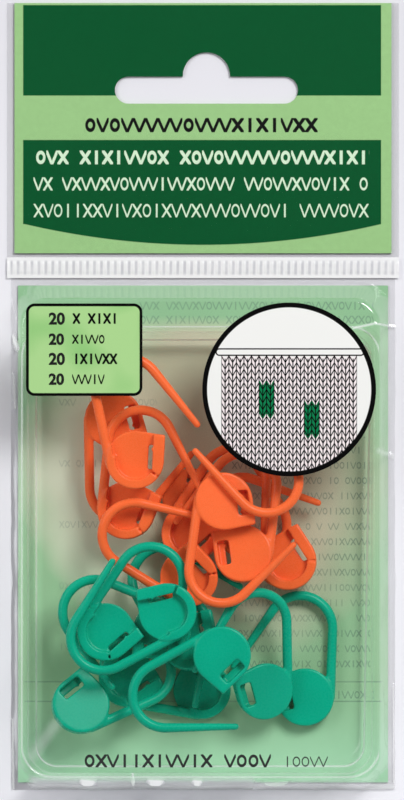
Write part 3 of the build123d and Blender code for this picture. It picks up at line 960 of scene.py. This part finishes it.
def headerSkin():
    look = headerSheet
    length, middle = look["high"] - look["low"], (look["low"] + look["high"]) / 2
    bpy.ops.object.select_all(action="DESELECT")
    bpy.ops.mesh.primitive_grid_add(x_subdivisions=int(look["width"] / look["cell"]),
                                    y_subdivisions=int(length / look["cell"]), size=1)
    obj = bpy.context.view_layer.objects.active
    for vertex in obj.data.vertices:
        vertex.co = (vertex.co.x * look["width"] * mm, (vertex.co.y * length + middle) * mm,
                     look["z"] * mm)
    cutter = slotCutter()
    thick = obj.modifiers.new("thickness", "SOLIDIFY")
    thick.thickness = look["thickness"] * mm
    cut = obj.modifiers.new("slot", "BOOLEAN")
    cut.operation = "DIFFERENCE"
    cut.solver = "EXACT"
    cut.object = cutter
    applyModifiers(obj)
    bpy.data.objects.remove(cutter)
    bpy.ops.object.shade_smooth_by_angle(angle=math.radians(30))
    return obj


finishPiece(headerSkin(), "headerFilm", flatFilm, "clear_film", "pack", "header_film")
print("clear pieces made")


# Numbers on the count label

numbers = {
    "text": "20",
    "left": -26.6, "z": 15.885,
    "rows": ((12.5, 2.75), (9.0, 2.6), (5.55, 2.75), (2.1, 2.6)),       # low edge, letter size
    "thickness": 0.01,
    "bold": 0.1,
}


def countNumbers():
    pieces = []
    for low, size in numbers["rows"]:
        bpy.ops.object.select_all(action="DESELECT")
        bpy.ops.object.text_add(location=(0, 0, 0))
        text = bpy.context.view_layer.objects.active
        text.data.body = numbers["text"]
        text.data.size = size * mm
        text.data.extrude = numbers["thickness"] * mm
        text.data.offset = numbers["bold"] * mm
        selectOnly(text)
        bpy.ops.object.convert(target="MESH")
        text = bpy.context.view_layer.objects.active
        place = Vector((numbers["left"], low, numbers["z"])) * mm
        text.data.transform(Matrix.Translation(place))
        pieces.append(text)
    bpy.ops.object.select_all(action="DESELECT")
    for piece in pieces:
        piece.select_set(True)
    bpy.context.view_layer.objects.active = pieces[0]
    bpy.ops.object.join()
    return bpy.context.view_layer.objects.active


def blackInk():
    # Screen-printed ink, a thin smooth layer
    material, tree = newMaterial("black printing ink")
    place = millimetres(tree)[0]
    grain = addNode(tree, "TexNoise", {"Vector": place, "Scale": 1 / 0.25})     # mm, screen mesh
    rough = addNode(tree, "MapRange", {0: grain, 3: 0.3, 4: 0.45})
    shader = addNode(tree, "BsdfPrincipled", {
        "Base Color": labelPrint["ink"], "Roughness": rough})
    addNode(tree, "OutputMaterial", {"Surface": shader})
    return material


finishPiece(countNumbers(), "countNumbers", blackInk(), "green_label", "pack")
print("prints made")


# Floor, lamps and camera

stage = {
    "floor": "#e4e3e8",
    "floorSize": 8,             # m
    "floorZ": -0.05,            # mm
    # front and back paint light on the paper: brighter just below the pack, where its shadow falls,
    # and dimmer towards the top
    "front": (-0.075, -0.055, 1.12, 1.0),   # from and to along Y in m, and the paper's brightness
    "back": (-0.01, 0.065, 1.12, 0.93),     # at each
    "sky": "#fafaff",
    "worldStrength": 0.45,
    "zenith": 0.04,             # the sky is dark straight above, where flat film would mirror it
    "zenithFrom": (0.8, 0.93),
    "key": ((0.42, 0.55, 0.9), 0.42, 9.4),  # place and size in m, power
    "fill": ((-0.7, 0.3, 0.8), 0.6, 3.0),
}


def studio():
    bpy.ops.object.select_all(action="DESELECT")
    bpy.ops.mesh.primitive_plane_add(size=stage["floorSize"], location=(0, 0, stage["floorZ"] * mm))
    floor = bpy.context.view_layer.objects.active
    floor.name = "floor"
    material, tree = newMaterial("pale matt paper backdrop")
    place = addNode(tree, "TexCoord").node.outputs["Object"]
    y = addNode(tree, "SeparateXYZ", {0: place}).node.outputs[1]
    front, back = (addNode(tree, "MapRange", {0: y, 1: start, 2: end, 3: first, 4: last})
                   for start, end, first, last in (stage["front"], stage["back"]))
    # painted light along Y, from both ramps
    paintedLight = addNode(tree, "Math", {0: front, 1: back}, "MULTIPLY")
    colour = addNode(tree, "HueSaturation", {"Value": paintedLight, "Color": stage["floor"]})
    shader = addNode(tree, "BsdfPrincipled", {
        "Base Color": colour, "Roughness": 0.9, "Specular IOR Level": 0.2})
    addNode(tree, "OutputMaterial", {"Surface": shader})
    floor.data.materials.append(material)
    world = bpy.data.worlds.new("studio")
    bpy.context.scene.world = world
    world.use_nodes = True
    world.node_tree.nodes.clear()
    tree = world.node_tree
    way = addNode(tree, "TexCoord")
    up = addNode(tree, "SeparateXYZ", {0: way}).node.outputs[2]
    start, end = stage["zenithFrom"]
    strength = addNode(tree, "MapRange", {
        0: up, 1: start, 2: end, 3: stage["worldStrength"], 4: stage["zenith"]})
    sky = addNode(tree, "Background", {0: stage["sky"], 1: strength})
    addNode(tree, "OutputWorld", {0: sky})
    for name in ("key", "fill"):
        place, size, power = stage[name]
        lamp = bpy.data.lights.new(name, "AREA")
        lamp.size = size
        lamp.energy = power
        obj = bpy.data.objects.new(name, lamp)
        obj.location = place
        obj.rotation_euler = Vector(place).to_track_quat("Z", "Y").to_euler()
        bpy.context.scene.collection.objects.link(obj)


view = {
    "distance": 3.0,            # m, straight above
    "height": 138.8,            # mm of the floor in the frame
    "middle": (-0.17, -0.61),   # mm
    "sensor": 24,
}


def camera():
    data = bpy.data.cameras.new("camera")
    data.sensor_fit = "VERTICAL"
    data.sensor_height = view["sensor"]
    data.lens = view["sensor"] * view["distance"] / (view["height"] * mm)
    data.clip_start, data.clip_end = 0.1, 10
    obj = bpy.data.objects.new("camera", data)
    obj.location = (view["middle"][0] * mm, view["middle"][1] * mm, view["distance"])
    bpy.context.scene.collection.objects.link(obj)
    bpy.context.scene.camera = obj


studio()
camera()
bpy.context.scene.view_settings.view_transform = "Standard"
print("stage set")
